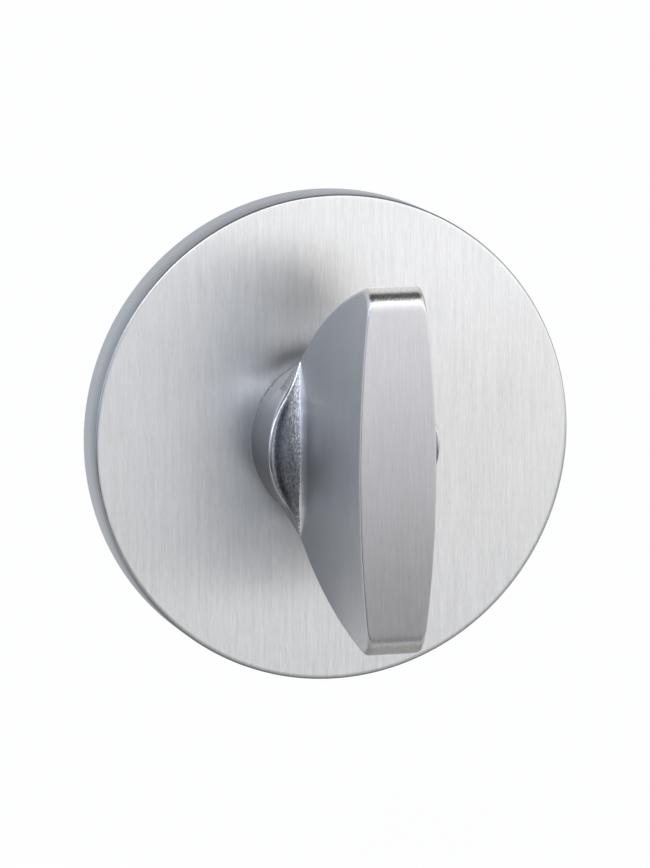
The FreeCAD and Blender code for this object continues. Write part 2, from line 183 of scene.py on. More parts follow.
def cleaned(data, sharp_angle):
    """A mesh with its doubles merged, its faces outwards, smooth up to an angle in degrees, and its UV."""
    shape = bmesh.new()
    shape.from_mesh(data)
    bmesh.ops.remove_doubles(shape, verts=shape.verts, dist=DOUBLES * MM)
    bmesh.ops.dissolve_degenerate(shape, dist=DOUBLES / 4 * MM, edges=shape.edges)
    bmesh.ops.recalc_face_normals(shape, faces=shape.faces)
    shape.to_mesh(data)
    shape.free()
    data.validate()
    data.polygons.foreach_set("use_smooth", np.ones(len(data.polygons), dtype=bool))
    data.set_sharp_from_angle(angle=math.radians(sharp_angle))
    lay_uv(data)
    return data


def lay_uv(data):
    """UV in mm, with V along the brushing, which is upright on flat faces and goes round on round walls."""
    corners = read_out(data.loops, "vertex_index", 1, np.int32)
    place = read_out(data.vertices, "co", 3)[corners[:, 0]] / MM
    sizes = read_out(data.polygons, "loop_total", 1, np.int32)
    normal = np.repeat(read_out(data.polygons, "normal", 3), sizes[:, 0], axis=0)
    wall = np.abs(normal[:, 1:2]) < 0.6
    grain = np.where(wall, place[:, 1:], place[:, ::2])
    data.uv_layers.new(name="Grain").data.foreach_set("uv", grain.ravel())


def read_out(items, name, width, kind=float):
    """One value of all of a mesh's items as the rows of an array."""
    values = np.empty(len(items) * width, dtype=kind)
    items.foreach_get(name, values)
    return values.reshape(-1, width)


def put_piece(name, data, body, slot, *nodes):
    """Puts a finished mesh into the scene as a piece that stands for its CAD nodes."""
    piece = bpy.data.objects.new(name, data)
    bpy.context.scene.collection.objects.link(piece)
    data.materials.append(finish(slot))
    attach(piece, body)
    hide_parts(*nodes)


def ramp(value, start, length):
    """Runs evenly from 0 to 1 over a length, and stays level outside it."""
    return np.clip((value - start) / length, 0, 1)


def shares(count):
    """Even shares from 0 to 1, one for each row of a grid."""
    return np.linspace(0, 1, count)[:, None]


def between(t, first, last):
    """Values at shares t of the way from the first to the last."""
    return first * (1 - t) + last * t


def smooth_step(value):
    """Runs from 0 to 1 with level ends, as 3 v squared less 2 v cubed."""
    value = np.clip(value, 0, 1)
    return value ** 2 * (3 - 2 * value)


def bend(t, start, middle, end):
    """A curve from start to end that its middle point draws towards itself, at shares t of the way."""
    return (1 - t) ** 2 * start + 2 * t * (1 - t) * middle + t ** 2 * end


def bell(width, step):
    """Weights of a moving average that fall off as the exponential of half the squared distance over the
    width, and add up to 1."""
    half = int(3 * width / step)
    weights = np.exp(-0.5 * (np.arange(-half, half + 1) * step / width) ** 2)
    return weights / weights.sum()


def round_points(radius, y, angle, up=0.0):
    """Points at a radius from the Y axis, or from a line beside it that lies higher."""
    return np.stack(np.broadcast_arrays(radius * np.cos(angle), y, radius * np.sin(angle) + up), axis=-1)


def set_back(grid, width):
    """Respaces a grid's rows so that each column starts a given length in from its edge."""
    rows = len(grid)
    length = np.linalg.norm(np.diff(grid, axis=0), axis=2).sum(axis=0)
    start = np.minimum(width / np.maximum(length, 1e-9), 0.5)
    place = (start + (1 - start) * np.linspace(0, 1, rows)[:, None]) * (rows - 1)
    below = np.minimum(place.astype(int), rows - 2)
    part = (place - below)[..., None]
    lower = np.take_along_axis(grid, below[..., None], axis=0)
    upper = np.take_along_axis(grid, below[..., None] + 1, axis=0)
    return lower * (1 - part) + upper * part


def soften(first, second, width, steps=6, ratio=1.0):
    """Rounds the edge that two grids share as their first rows. The first grid is set back by the width
    and the second by this ratio of it, and a strip of curves with the old edge as middle control point
    closes the gap."""
    edge = first[0]
    first, second = set_back(first, width), set_back(second, width * ratio)
    t = np.linspace(0, 1, steps + 1)[:, None, None]
    return first, second, bend(t, first[0], edge, second[0])


FRONT_HEIGHT = 24.0
FRONT_EDGE_HEIGHT = 23.6
CORNER_REACH = 17.6
TIP = (19.2, 21.6)
TIP_BULGE = 0.42
TOE = (18.9, 20.6)
KNEE = (15.3, 12.8)
HEEL = (5.0, 2.8)
SIDE_MIDDLE = 4.13
SIDE_RADIUS = 145.0
SIDE_AXIS = SIDE_MIDDLE - SIDE_RADIUS
SIDE_DRAFT = (5.5 - SIDE_MIDDLE) / (23.6 - 7.25)
BOSS_LIFT = 0.12
FOOT_RADIUS = 0.15
LIP_RADIUS = 8.62
BOSS_BASE = 9.05
BOSS_RIM = 9.35
SHOULDER = 8.2
SADDLE = 38.0
SCOOP_FOOT = (4.9, 7.25)
SCOOP_HOLLOW = (7.125, 7.2)
SCOOP_RIM = (9.35, 8.2)
CREASE_RATIO = 0.12
FLANK_START = (8.169, 3.136)
FLANK_SWELL = (6.42, 7.1)
RIM_EVENING = math.radians(5)
LEDGE_EDGE = 0.14
TAPER = 1.2
CREASE_TAPER = 3.5
ROW_REACH = 10.2
SETTLING = 30
ROSE_RADIUS = 26.0
NOTCH_HALF = 3.0
NOTCH_Y = -0.8
SNAP_RADIUS = 24.72
SNAP_Y = -1.2
GROOVE = 0.53
WIRE = 0.5
SHANK_END = 12.2
FLATS = 6.2
FLATS_FROM = 8.67
SOCKET = 4.05
SOCKET_FLOOR = -3.8
# Where edge widths and masks change along the turn: the start of each ramp and its length.
TOP_WIDTH = (16.4, 1.4)
LOW_WIDTH = (12, 6)
ON_TIP = (CORNER_REACH, 0.25)
ON_TOE = (17.5, 1.0)
# The next four ramps place painted shade: on the boss wall under the wing, on the rim strip past the boss,
# and across and along the scoop.
SHADE_UNDER_WING = (0.45, 0.35)
RIM_SHADE_Z = (4.5, 2)
PAINTED_SHADE_START = (0.45, 0.35)
PAINTED_SHADE_END = (4.5, 3)
RIM_STRIP = 0.1


def blade_half_width(height, z):
    """The blade's side is turned about a far upright axis, and leans in towards the front."""
    reach = SIDE_MIDDLE + SIDE_DRAFT * (FRONT_EDGE_HEIGHT - height) - SIDE_AXIS
    return SIDE_AXIS + np.sqrt(reach ** 2 - z ** 2)


def front_height(z):
    """The front is a shallow arc along the blade."""
    drop = FRONT_HEIGHT - FRONT_EDGE_HEIGHT
    radius = (CORNER_REACH ** 2 + drop ** 2) / (2 * drop)
    return FRONT_HEIGHT - radius + np.sqrt(radius ** 2 - z ** 2)


def under_height(z):
    """The wing's underside is an arc from toe to heel, and flat inside the heel."""
    centre = circle_centre(TOE, KNEE, HEEL)
    radius = math.dist(centre, HEEL)
    arc = centre[1] - np.sqrt(np.maximum(radius ** 2 - (z - centre[0]) ** 2, 0))
    return np.where(z < HEEL[0], HEEL[1], arc)


def scoop_height(x, z):
    """The shoulder is an arc across, swept round an axis behind the rose, so that it falls away along
    the blade like a saddle."""
    centre = circle_centre(SCOOP_FOOT, SCOOP_HOLLOW, SCOOP_RIM)
    radius = math.dist(centre, SCOOP_FOOT)
    across = centre[1] - np.sqrt(np.maximum(radius ** 2 - (x - centre[0]) ** 2, 0))
    axis = SHOULDER - SADDLE
    return axis + np.sqrt((across - axis) ** 2 - z ** 2)


def boss_radius(height):
    """The boss widens evenly from its foot to its rim."""
    return BOSS_BASE + (BOSS_RIM - BOSS_BASE) * (height - BOSS_LIFT) / (SHOULDER - BOSS_LIFT)


def placed(x, height, z):
    """Points from their X, their height above the rose and their Z."""
    x, height, z = np.broadcast_arrays(x, height, z)
    return np.stack([x, ROSE_FACE - height, z], axis=-1)


def meeting_point():
    """Where blade side, scoop and wing underside meet, found by halving an interval."""
    low, high = 6.0, 12.0
    for _ in range(50):
        z = (low + high) / 2
        height = under_height(z)
        if scoop_height(blade_half_width(height, z), z) > height:
            low = z
        else:
            high = z
    return float(blade_half_width(height, z)), z, float(height)


def flank_radius(angle, meeting):
    """Distance from the spindle axis to the wing's flank, an arc seen from the front."""
    centre = circle_centre(FLANK_START, FLANK_SWELL, meeting)
    radius = math.dist(centre, FLANK_START)
    along = np.cos(angle) * centre[0] + np.sin(angle) * centre[1]
    root = np.sqrt(np.maximum(along ** 2 - np.dot(centre, centre) + radius ** 2, 0))
    inner, outer = along - root, along + root
    reach = np.where(np.abs(inner - 9) < np.abs(outer - 9), inner, outer)
    return np.where(angle < math.atan2(FLANK_START[1], FLANK_START[0]), 0, reach)


def evened(angle, reach, width):
    """A curve of distances over angles with its corners taken off by a bell-shaped moving average. Before
    its start the curve is mirrored, and past its end it goes on turned about its last point."""
    step = math.radians(0.25)
    end = angle[-1]
    even = np.arange(-4 * width, end + 4 * width, step)
    values = np.interp(np.where(even > end, 2 * end - even, np.abs(even)), angle, reach)
    values = np.where(even > end, 2 * reach[-1] - values, values)
    return np.interp(angle, even, np.convolve(values, bell(width, step), mode="same"))


def tip_outline(rounding, count):
    """The blade's end seen from the side, from the front round the end face and the toe to the underside.
    The points are evenly spaced, and a bell-shaped moving average takes the corners off. It comes back
    as two runs that meet at the outermost point."""
    corner = (CORNER_REACH, FRONT_EDGE_HEIGHT)
    middle = np.add(corner, TIP) / 2 + TIP_BULGE / math.sqrt(2)
    front = np.linspace(15.0, CORNER_REACH, 40)
    end_z, end_height = arc_through(corner, middle, TIP, 40)
    under = np.linspace(TOE[0], 16.8, 60)
    z = np.concatenate([front, end_z[1:], under])
    height = np.concatenate([front_height(front), end_height[1:], under_height(under)])
    length = np.concatenate([[0], np.cumsum(np.hypot(np.diff(z), np.diff(height)))])
    step = 0.03
    even = np.arange(0, length[-1], step)
    weights = bell(rounding, step)
    z = np.convolve(np.interp(even, length, z), weights, mode="valid")
    height = np.convolve(np.interp(even, length, height), weights, mode="valid")
    outermost = int(np.argmax(z))
    upper = np.linspace(0, outermost, count).astype(int)
    lower = np.linspace(len(z) - 1, outermost, count).astype(int)
    return (z[upper], height[upper]), (z[lower], height[lower])


def blade_points(z, height):
    """Points on the blade's side at these places along it and heights above the rose."""
    return placed(blade_half_width(height, z), height, z)


def turn_shell(sizes):
    """A quarter of the turn as grids that share their border points, mirrored across both planes."""
    # The recess mask is painted shade: it darkens the boss wall, the ledge and the underside under the
    # wing, and part of the scoop.
    shell = Shell("cast", "turned", "tip", "side", "crease", "recess")
    meet_x, meet_z, meet_height = meeting_point()
    meet_angle = math.atan2(meet_z, meet_x)
    angle = np.concatenate([
        np.linspace(0, math.pi / 4, 40),
        np.linspace(math.pi / 4, meet_angle, 20)[1:],
        np.linspace(meet_angle, math.pi / 2, 18)[1:],
    ])
    wing = int(np.argmin(np.abs(angle - meet_angle)))
    flank_angle = angle[:wing + 1]
    cos, sin = np.cos(angle), np.sin(angle)
    flank_cos, flank_sin = cos[:wing + 1], sin[:wing + 1]

    ledge_height = np.full_like(angle, HEEL[1])
    for _ in range(SETTLING):
        ledge_height = under_height(boss_radius(ledge_height) * sin)
    boss_edge = boss_radius(ledge_height)
    inner = placed(boss_edge * cos, ledge_height, boss_edge * sin)
    ledge_inner = boss_edge[:wing + 1]
    flank = flank_radius(flank_angle, (meet_x, meet_z))
    ledge_outer = np.maximum(flank, ledge_inner)
    rim_height = np.full(wing + 1, SHOULDER)
    for _ in range(SETTLING):
        rim = evened(flank_angle, np.maximum(flank, boss_radius(rim_height)), RIM_EVENING)
        rim_height = scoop_height(rim * flank_cos, rim * flank_sin)
    rim_x, rim_z = rim * flank_cos, rim * flank_sin
    rim_x[-1], rim_z[-1], rim_height[-1] = meet_x, meet_z, meet_height

    # Painted shade on the boss wall under the wing, at half strength, carried by the recess mask.
    shade_under_wing = 0.5 * smooth_step(ramp(angle, *SHADE_UNDER_WING))
    t = shares(5)
    radius = BOSS_BASE - FOOT_RADIUS * (1 - np.sin(t * math.pi / 2))
    height = BOSS_LIFT + FOOT_RADIUS * (1 - np.cos(t * math.pi / 2))
    shell.add(placed(radius * cos, height, radius * sin), turned=1.0, recess=shade_under_wing * t)
    t = shares(16)
    height = between(t, BOSS_LIFT + FOOT_RADIUS, ledge_height)
    radius = between((1 - t) ** 8, boss_radius(height), BOSS_BASE)
    shell.add(placed(radius * cos, height, radius * sin), turned=1.0, recess=shade_under_wing)

    radius = between(shares(7), ledge_outer, ledge_inner)
    z = radius * flank_sin
    ledge = placed(radius * flank_cos, under_height(z), z)
    t = shares(18)
    height = between(t, under_height(ledge_outer * flank_sin), rim_height)
    shift = rim - np.maximum(flank, boss_radius(rim_height))
    radius = np.maximum(flank, boss_radius(height)) + shift * smooth_step(t * 1.5)
    wall = placed(radius * flank_cos, height, radius * flank_sin)
    wall[-1] = placed(rim_x, rim_height, rim_z)
    wall[:, -1] = ledge[0, -1] = placed(meet_x, meet_height, meet_z)
    crease_x = np.full_like(rim_z, 5.4)
    for _ in range(SETTLING):
        crease_x = blade_half_width(scoop_height(crease_x, rim_z), rim_z)
    crease_x[-1] = meet_x
    x = between(shares(26), rim_x, crease_x)
    scoop = placed(x, scoop_height(x, rim_z), rim_z)
    scoop[0] = wall[-1]
    scoop[:, -1] = wall[0, -1]

    to_meeting = meet_z - rim_z
    taper = ramp(to_meeting, 0, TAPER)
    ledge_width = ledge_outer - ledge_inner
    width = LEDGE_EDGE * ramp(ledge_width, 0, 0.4) * taper
    ledge, wall, strip = soften(ledge, wall, width)
    # The ledge takes the painted shade under the wing as well.
    for grid, darker in ((strip, 0.0), (ledge, shade_under_wing[:wing + 1])):
        t = shares(len(grid))
        as_cast = ramp(ledge_width, 0, 0.2) * (1 - t)
        shell.add(grid, cast=0.5 * as_cast, side=as_cast, turned=1 - as_cast, recess=darker * t)
    wall, scoop, strip = soften(wall[::-1], scoop, sizes.rim_edge * taper)
    shell.add(wall, turned=1.0)
    # Past the boss, the rim strip and further on the scoop's rows by the rim keep the turned mask's darker
    # level: painted shade that keeps their highlight down.
    rim_shade = smooth_step(ramp(rim_z, *RIM_SHADE_Z))
    t = shares(len(strip))
    shell.add(strip, cast=t ** 2, turned=np.maximum(1 - t, rim_shade))

    runs = []
    ends = tip_outline(sizes.tip_rounding, 22)
    for rule, (end_z, end_height) in zip((front_height, under_height), ends):
        z = np.concatenate([rim_z, np.linspace(meet_z, end_z[0], 28)[1:-1]])
        runs.append((np.concatenate([z, end_z]), np.concatenate([rule(z), end_height])))
    (top_z, top_height), (low_z, low_height) = runs
    extra = sizes.tip_edge - sizes.blade_edge
    top_width = sizes.blade_edge + extra * ramp(top_z, *TOP_WIDTH)
    low_width = (sizes.blade_edge + extra * ramp(low_z, *LOW_WIDTH)) * ramp(low_z - meet_z, 0, TAPER)
    low_width[-1] = top_width[-1]
    along = np.gradient(np.concatenate([runs[0], np.flip(runs[1], axis=1)], axis=1), axis=1)
    along /= np.maximum(np.linalg.norm(along, axis=0), 1e-9)
    inward = np.stack([along[1], -along[0]])
    inward[:, 0] = (0, -1)
    top_way, low_way = inward[:, :len(top_z)].copy(), inward[:, :len(top_z) - 1:-1].copy()
    tip_way = top_way[:, -2] + low_way[:, -2]
    top_way[:, -1] = low_way[:, -1] = tip_way / np.linalg.norm(tip_way)

    top_edge, low_edge = blade_points(top_z, top_height), blade_points(low_z, low_height)
    side_top = blade_points(top_z + top_way[0] * top_width, top_height + top_way[1] * top_width)
    side_low = blade_points(low_z + low_way[0] * low_width, low_height + low_way[1] * low_width)
    side_low[-1] = side_top[-1]
    side_low[:wing + 1] = scoop[-1]
    side = between(shares(44)[..., None], side_low, side_top)
    side[..., 0] = blade_half_width(ROSE_FACE - side[..., 1], side[..., 2])
    side[0] = side_low
    crease = sizes.crease_edge * ramp(to_meeting, 0, CREASE_TAPER)
    side[:, :wing + 1], scoop, strip = soften(side[:, :wing + 1], scoop[::-1], crease, 10, CREASE_RATIO)
    t = shares(len(strip))
    # The crease mask is a painted highlight: it lightens the middle of the strip where the blade side meets
    # the scoop.
    shell.add(strip, cast=t ** 4, side=1 - t, crease=np.sin(math.pi * np.minimum(t * 1.3, 1)))
    # Painted shade in the scoop: darker over its half next to the rim, short of the rim itself, and fading
    # out towards its ends.
    t = shares(len(scoop))
    recess = smooth_step(ramp(t, *PAINTED_SHADE_START)) * smooth_step((1 - t) / RIM_STRIP)
    shell.add(scoop, cast=1.0, turned=rim_shade * ramp(t, 1 - RIM_STRIP, RIM_STRIP),
              recess=recess * (1 - ramp(rim_z, *PAINTED_SHADE_END)))
    shell.add(side, side=1.0)

    row = np.concatenate([ledge[:-1, -1], inner[wing:]])
    row[0] = low_edge[wing]
    across = row[:, 0] / row[0, 0]
    across[-1] = 0
    on_tip = ramp(top_z, *ON_TIP)
    on_toe = ramp(low_z[wing:], *ON_TOE)
    faces = []
    for edge, inside, width, cast, tip, flat in (
        (top_edge, side_top, top_width, on_tip, on_tip, 0 * on_tip),
        (low_edge[wing:], side_low[wing:], low_width[wing:], 0.5 + 0.5 * on_toe, on_toe, 1 - on_toe),
    ):
        face = np.repeat(edge[:, None], len(across), axis=1)
        face[..., 0] = (edge[:, :1] - width[:, None]) * across
        faces.append(face)
        t = shares(5)
        strip = bend(t[..., None], inside, edge, face[:, 0])
        shell.add(strip, cast=t * cast, tip=t * tip, side=1 - t + t * flat)
    front, low = faces
    shell.add(front, cast=on_tip[:, None], tip=on_tip[:, None])
    last = int(np.argmin(np.abs(low_z[wing:] - ROW_REACH)))
    t = shares(last + 1)
    x, z = (between(t, row[:, axis], low[last, :, axis]) for axis in (0, 2))
    blended = placed(x, under_height(z), z)
    blended[:, 0] = low[:last + 1, 0]
    blended[0] = row
    low[:last + 1] = blended
    t = shares(len(ledge))[:, 0]
    # Painted shade on the underside's first row under the wing, carried by the recess mask.
    bare, darker = np.ones(low.shape[:2]), np.zeros(low.shape[:2])
    bare[0] = np.concatenate([1 - t, 0 * shade_under_wing[wing + 1:]])
    darker[0] = np.concatenate([shade_under_wing[wing] * t, shade_under_wing[wing + 1:]])
    toe = on_toe[:, None]
    shell.add(low, cast=(0.5 + 0.5 * toe) * bare, side=(1 - toe) * bare, tip=toe * bare, turned=1 - bare,
              recess=darker)
    add_shank(shell, cos, sin)
    shell.mirrored(0)
    shell.mirrored(2)
    return shell


def add_shank(shell, cos, sin):
    """The shank is a turned outline with two flats, closed by its end face and the square socket."""
    lip = ROSE_FACE - BOSS_LIFT
    outline = [
        (BOSS_BASE - FOOT_RADIUS, lip), (LIP_RADIUS, lip), (LIP_RADIUS, -5.5), (7.0, -5.5),
        (7.0, FLATS_FROM), (7.0, FLATS_FROM + 0.0001), (7.0, 9.83), (6.6, 9.83), (6.6, 10.89),
        (7.0, 10.89), (7.0, SHANK_END - 0.1), (6.9, SHANK_END),
    ]
    rows = []
    for radius, y in outline:
        x = np.minimum(radius * cos, FLATS if y > FLATS_FROM else radius)
        rows.append(np.stack([x, np.full_like(x, y), radius * sin], axis=-1))
    shell.add(np.stack(rows), turned=1.0)
    square = SOCKET / np.maximum(cos, sin)
    rows = [rows[-1]]
    for size, y in ((square, SHANK_END), (square, SOCKET_FLOOR), (0, SOCKET_FLOOR)):
        rows.append(np.stack([size * cos, np.full_like(cos, y), size * sin], axis=-1))
        shell.add(np.stack(rows[-2:]), turned=1.0)


def turned_shell(outline, count=192, shift=None):
    """A closed outline of (radius, y) points turned about the Y axis. A shift may move the points."""
    shell = Shell()
    angle = np.linspace(0, 2 * math.pi, count + 1)
    radius, y = np.array(outline).T[..., None]
    grid = round_points(radius, y, angle)
    shell.add(grid if shift is None else shift(grid, angle))
    return shell


def rounded(points, radius, steps=4):
    """A closed outline with each corner cut back by the radius and bridged by a short curve."""
    points = np.array(points, dtype=float)
    before = np.roll(points, 1, axis=0) - points
    after = np.roll(points, -1, axis=0) - points
    lengths = [np.linalg.norm(way, axis=1, keepdims=True) for way in (before, after)]
    cut = np.minimum(radius, 0.45 * np.minimum(*lengths))
    start, end = points + before / lengths[0] * cut, points + after / lengths[1] * cut
    t = np.linspace(0, 1, steps + 1)[:, None, None]
    outline = bend(t, start, points, end).transpose(1, 0, 2).reshape(-1, 2)
    return np.concatenate([outline, outline[:1]])


def rose_outline():
    """Half section of the cover: bore, face, rounded edge, skirt with its snap groove, inside."""
    arc = np.linspace(0, math.pi / 2, 9)
    edge = np.stack([25.7 + 0.3 * np.sin(arc), -4.7 - 0.3 * np.cos(arc)], axis=1)
    groove_y = SNAP_Y + GROOVE * np.cos(np.linspace(0, math.pi, 11))
    groove_r = SNAP_RADIUS + np.sqrt(np.maximum(GROOVE ** 2 - (groove_y - SNAP_Y) ** 2, 0))
    groove = np.stack([np.maximum(groove_r, 25.0), groove_y], axis=1)
    face = np.stack([np.linspace(8.0, 25.5, 30), np.full(30, ROSE_FACE)], axis=1)
    return np.concatenate([
        [(7.93, -4.95), (7.95, -4.99)], face, edge,
        [(26.0, -2.0), (26.0, -0.8), (26.0, -0.1), (25.9, 0.0), (25.1, 0.0), (25.0, -0.1)],
        groove, [(25.0, -2.2), (25.0, -3.9), (24.9, -4.0), (8.0, -4.0), (7.93, -4.05), (7.93, -4.95)],
    ])


def rose_shell():
    """The cover's section turned about the axis, with a small lever notch in the bottom of its skirt."""
    outline = rose_outline()
    half = math.asin(NOTCH_HALF / ROSE_RADIUS)
    bottom = -math.pi / 2
    angle = np.sort(np.concatenate([
        np.linspace(bottom - math.pi, bottom + math.pi, 289),
        [bottom - half - 0.0004, bottom - half, bottom + half, bottom + half + 0.0004],
    ]))
    radius, y = outline[:, :1], outline[:, 1:]
    skirt = np.where(y > -4.9, 1.0, ramp(radius, 25.72, 0.25))
    # The edge mask is painted shade: it darkens the rounded front edge to keep its highlight down.
    edge_shade = ramp(radius, 25.6, 0.2) * ramp(-y, 4.45, 0.2)
    in_notch = (np.abs(angle - bottom) <= half + 1e-9) & (radius > 20)
    shell = Shell("skirt", "edge")
    y = np.where(in_notch, np.minimum(y, NOTCH_Y), y)
    shell.add(round_points(radius, y, angle), skirt=skirt, edge=edge_shade)
    return shell


def spindle_shell():
    """A square bar with small corner radii, carried along Y, with a chamfer at the door end."""
    half, corner = 4.0, 0.35
    arc = np.linspace(0, math.pi / 2, 6)
    quarter = half - corner + corner * np.stack([np.cos(arc), np.sin(arc)], axis=1)
    flat = np.stack([np.full(7, half), np.linspace(-3.2, 3.2, 7)], axis=1)
    side = np.concatenate([flat, quarter])
    quarter_turn = np.array([[0, 1], [-1, 0]])
    section = np.concatenate([side @ np.linalg.matrix_power(quarter_turn, number) for number in range(4)])
    section = np.concatenate([section, section[:1]])
    size, y = np.array([
        (0.0, -3.6), (3.5, -3.6), (4.0, -3.5), (4.0, 12.0), (4.0, 30.0), (4.0, 49.2), (3.25, 49.95),
        (3.15, 50.0), (0.0, 50.0),
    ]).T[..., None]
    x, z = section.T
    shell = Shell()
    shell.add(np.stack(np.broadcast_arrays(x * (size / half), y, z * (size / half)), axis=-1))
    return shell


def screw_shell(z, sizes):
    """A screw at a height z: the cross recess is a dip in the head's front, the thread a ridge that
    climbs one pitch a turn, and the tip is bevelled."""
    shell = Shell()
    angle = np.linspace(0, 2 * math.pi, 49)
    top, core, thread_from, tip = -2.35, 1.75, 0.3, 19.65
    radius = np.concatenate([np.linspace(0, 2.5, 26), [2.8, 3.2, 3.55, 3.68]])[:, None]
    x, up = np.abs(radius * np.cos(angle)), np.abs(radius * np.sin(angle))
    arms = np.minimum(np.maximum(x - 2.1, up - 0.42), np.maximum(up - 2.1, x - 0.42))
    depth = 1.5 * np.clip(0.5 - arms / 0.25, 0, 1)
    shell.add(round_points(radius, top + 0.02 * (radius / 3.7) ** 4 + depth, angle, z))
    shank = np.array([
        (3.68, top + 0.02), (3.7, top + 0.06), (1.78, top + 1.95), (core, top + 2.05), (core, thread_from),
    ])
    shell.add(round_points(shank[:, :1], shank[:, 1:], angle, z))
    pitch = sizes.thread_pitch
    y = np.linspace(thread_from, tip, int(19.35 / pitch * 8) + 1)[:, None]
    phase = (y / pitch - angle / (2 * math.pi)) % 1.0
    ridge = np.clip(1.25 - np.abs(phase * 2 - 1) * 1.5, 0, 1)
    start = ramp(y, thread_from, pitch)
    radius = core - 0.17 * start + 0.42 * ridge * start
    radius = np.minimum(radius, 2.0 - ramp(y, 19.0, 0.65) * 0.65)
    shell.add(round_points(radius, y, angle, z))
    shell.add(round_points(np.stack([radius[-1], 0 * angle]), tip, angle, z))
    return shell


def wave_shell():
    """A thin ring whose height follows three waves round the circle."""
    def waves(grid, angle):
        grid = grid.copy()
        grid[..., 1] += 0.22 * np.cos(3 * angle)
        return grid

    start = 7.98 + 0.22
    outline = rounded([(7.1, start), (8.7, start), (8.7, start + 0.25), (7.1, start + 0.25)], 0.06)
    return turned_shell(outline, 288, waves)


def snap_ring_shell():
    """Round wire carried along an open circle, with domed ends."""
    half_open = math.radians(9.0)
    angle = np.linspace(math.pi / 2 + half_open, math.pi / 2 - half_open + 2 * math.pi, 200)
    dome = np.concatenate([np.sin(np.linspace(0, math.pi / 2, 5)), np.ones(190),
                           np.cos(np.linspace(0, math.pi / 2, 5))])
    wire = np.linspace(0, 2 * math.pi, 25)[:, None]
    shell = Shell()
    radius = SNAP_RADIUS + WIRE * dome * np.cos(wire)
    shell.add(round_points(radius, SNAP_Y + WIRE * dome * np.sin(wire), angle))
    return shell


def retaining_ring_loops():
    """The ring's outline as seen along the axis, then its two ear holes. The outer radius is the ring's
    own, or the far side of an ear's circle where that is greater."""
    inner, outer, ear, hole = 6.63, 8.4, 1.05, 0.5
    middle = inner + ear
    half_open = math.radians(23.0)
    ear_angles = [math.pi / 2 + side * (half_open + math.asin(ear / middle)) for side in (-1, 1)]
    angle = np.linspace(math.pi / 2 + half_open, math.pi / 2 - half_open + 2 * math.pi, 320)
    reach = np.full_like(angle, outer)
    for ear_angle in ear_angles:
        across = (angle - ear_angle + math.pi) % (2 * math.pi) - math.pi
        root = ear ** 2 - (middle * np.sin(across)) ** 2
        far = middle * np.cos(across) + np.sqrt(np.maximum(root, 0))
        reach = np.maximum(reach, np.where((root > 0) & (np.cos(across) > 0), far, 0))
    radius = np.concatenate([reach, np.full_like(angle, inner)])
    angle = np.concatenate([angle, angle[::-1]])
    loops = [np.stack([radius * np.cos(angle), radius * np.sin(angle)], axis=1)]
    round_hole = np.linspace(0, 2 * math.pi, 25)[:-1]
    for ear_angle in ear_angles:
        loops.append(np.stack([middle * math.cos(ear_angle) + hole * np.cos(round_hole),
                               middle * math.sin(ear_angle) + hole * np.sin(round_hole)], axis=1))
    return loops


def stamped_mesh(name, loops, start, thickness, edge):
    """A flat piece: closed loops of (x, z) points are filled, with the inner ones left open, and get a
    thickness along Y and a small bevel."""
    curve = bpy.data.curves.new(name, "CURVE")
    curve.dimensions = "2D"
    curve.fill_mode = "BOTH"
    curve.extrude = thickness / 2 - edge
    curve.bevel_depth = edge
    curve.bevel_resolution = 2
    curve.offset = -edge
    for loop in loops:
        spline = curve.splines.new("POLY")
        spline.points.add(len(loop) - 1)
        spline.points.foreach_set("co", np.column_stack([loop, 0 * loop[:, 0], 0 * loop[:, 0] + 1]).ravel())
        spline.use_cyclic_u = True
    stand_in = bpy.data.objects.new(name, curve)
    data = bpy.data.meshes.new_from_object(stand_in)
    bpy.data.objects.remove(stand_in)
    bpy.data.curves.remove(curve)
    data.name = name
    data.materials.clear()
    x, z, depth = read_out(data.vertices, "co", 3).T
    data.vertices.foreach_set("co", (np.stack([x, start + thickness / 2 + depth, z], axis=1) * MM).ravel())
    return cleaned(data, 35)


def add_node(tree, kind, links=(), **settings):
    """Adds a node, sets its options, and links or sets its inputs by name or number."""
    node = tree.nodes.new("ShaderNode" + kind)
    for name, value in settings.items():
        setattr(node, name, value)
    for key, value in dict(links).items():
        if isinstance(value, bpy.types.NodeSocket):
            tree.links.new(value, node.inputs[key])
        else:
            node.inputs[key].default_value = value
    return node


def math_node(tree, operation, *values):
    """A math node's output."""
    return add_node(tree, "Math", dict(enumerate(values)), operation=operation).outputs[0]


def product(tree, first, *others):
    """Numbers multiplied one after the other."""
    for other in others:
        first = math_node(tree, "MULTIPLY", first, other)
    return first


def spread(tree, value, low, high, out_low=0.0, out_high=1.0):
    """A value moved from one range to another and held inside it."""
    return add_node(tree, "MapRange", {
        "Value": value, "From Min": low, "From Max": high, "To Min": out_low, "To Max": out_high,
    }).outputs["Result"]


def mixed(tree, factor, first, second):
    """A number between two numbers."""
    return add_node(tree, "Mix", {"Factor": factor, 2: first, 3: second}, data_type="FLOAT").outputs[0]


def mixed_colour(tree, factor, first, second):
    """A colour between two colours."""
    ends = [end if isinstance(end, bpy.types.NodeSocket) else (*end, 1) for end in (first, second)]
    return add_node(tree, "Mix", {"Factor": factor, 6: ends[0], 7: ends[1]}, data_type="RGBA").outputs[2]


def stretched(tree, place, factors):
    """Coordinates with each part times its own factor."""
    return add_node(tree, "VectorMath", {0: place, 1: factors}, operation="MULTIPLY").outputs[0]


def scaled(tree, colour, level):
    """A colour made darker or lighter by a level."""
    return add_node(tree, "VectorMath", {0: colour, 3: level}, operation="SCALE").outputs[0]


def noise(tree, place, scale, detail, **more):
    """A noise texture's value."""
    values = {"Vector": place, "Scale": scale, "Detail": detail, **more}
    return add_node(tree, "TexNoise", values).outputs[0]


